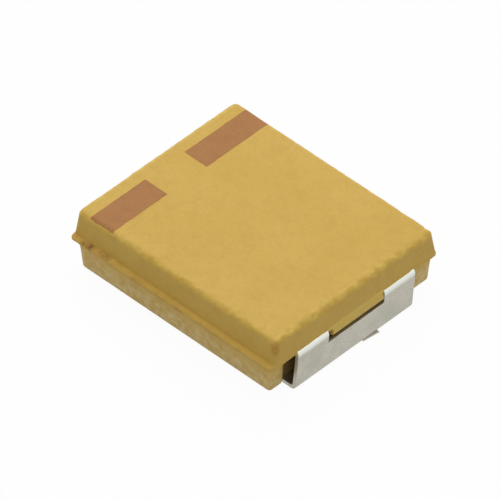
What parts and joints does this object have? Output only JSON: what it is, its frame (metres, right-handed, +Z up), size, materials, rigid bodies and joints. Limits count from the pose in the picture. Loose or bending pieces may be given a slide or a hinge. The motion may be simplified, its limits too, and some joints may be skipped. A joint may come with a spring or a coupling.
{
  "type": "tantalum capacitor",
  "caption": "Low-profile moulded tantalum chip capacitor: flat gold resin case with folded tin-plated leads at its ends and a split polarity bar.",
  "frame": {"origin": "centre of the bounding box at the undersides of the feet", "axes": "+X towards the cathode lead, -X the end with the polarity bars, +Y across the case, +Z up from the board"},
  "size_m": [0.0074, 0.0061, 0.0021],
  "materials": {
    "gold_epoxy": "matte moulded epoxy, fine grain",
    "laser_mark": "brown laser-marked resin",
    "tinned_strip": "dull tin plate over nickel-iron strip",
    "sintered_tantalum": "porous sintered metal",
    "tantalum_metal": "drawn wire",
    "white_washer": "fluoropolymer",
    "graphite": "matte carbon coat",
    "silver_paint": "matte silver paint",
    "silver_glue": "cured silver-filled adhesive"
  },
  "bodies": {
    "root": {"epoxy_case": "gold_epoxy", "polarity_bars": "laser_mark", "cathode_lead": "tinned_strip", "anode_lead": "tinned_strip", "tantalum_pellet": "sintered_tantalum", "tantalum_wire": "tantalum_metal", "insulating_washer": "white_washer", "graphite_coat": "graphite", "silver_coat": "silver_paint", "silver_adhesive": "silver_glue"}
  },
  "joints": []
}
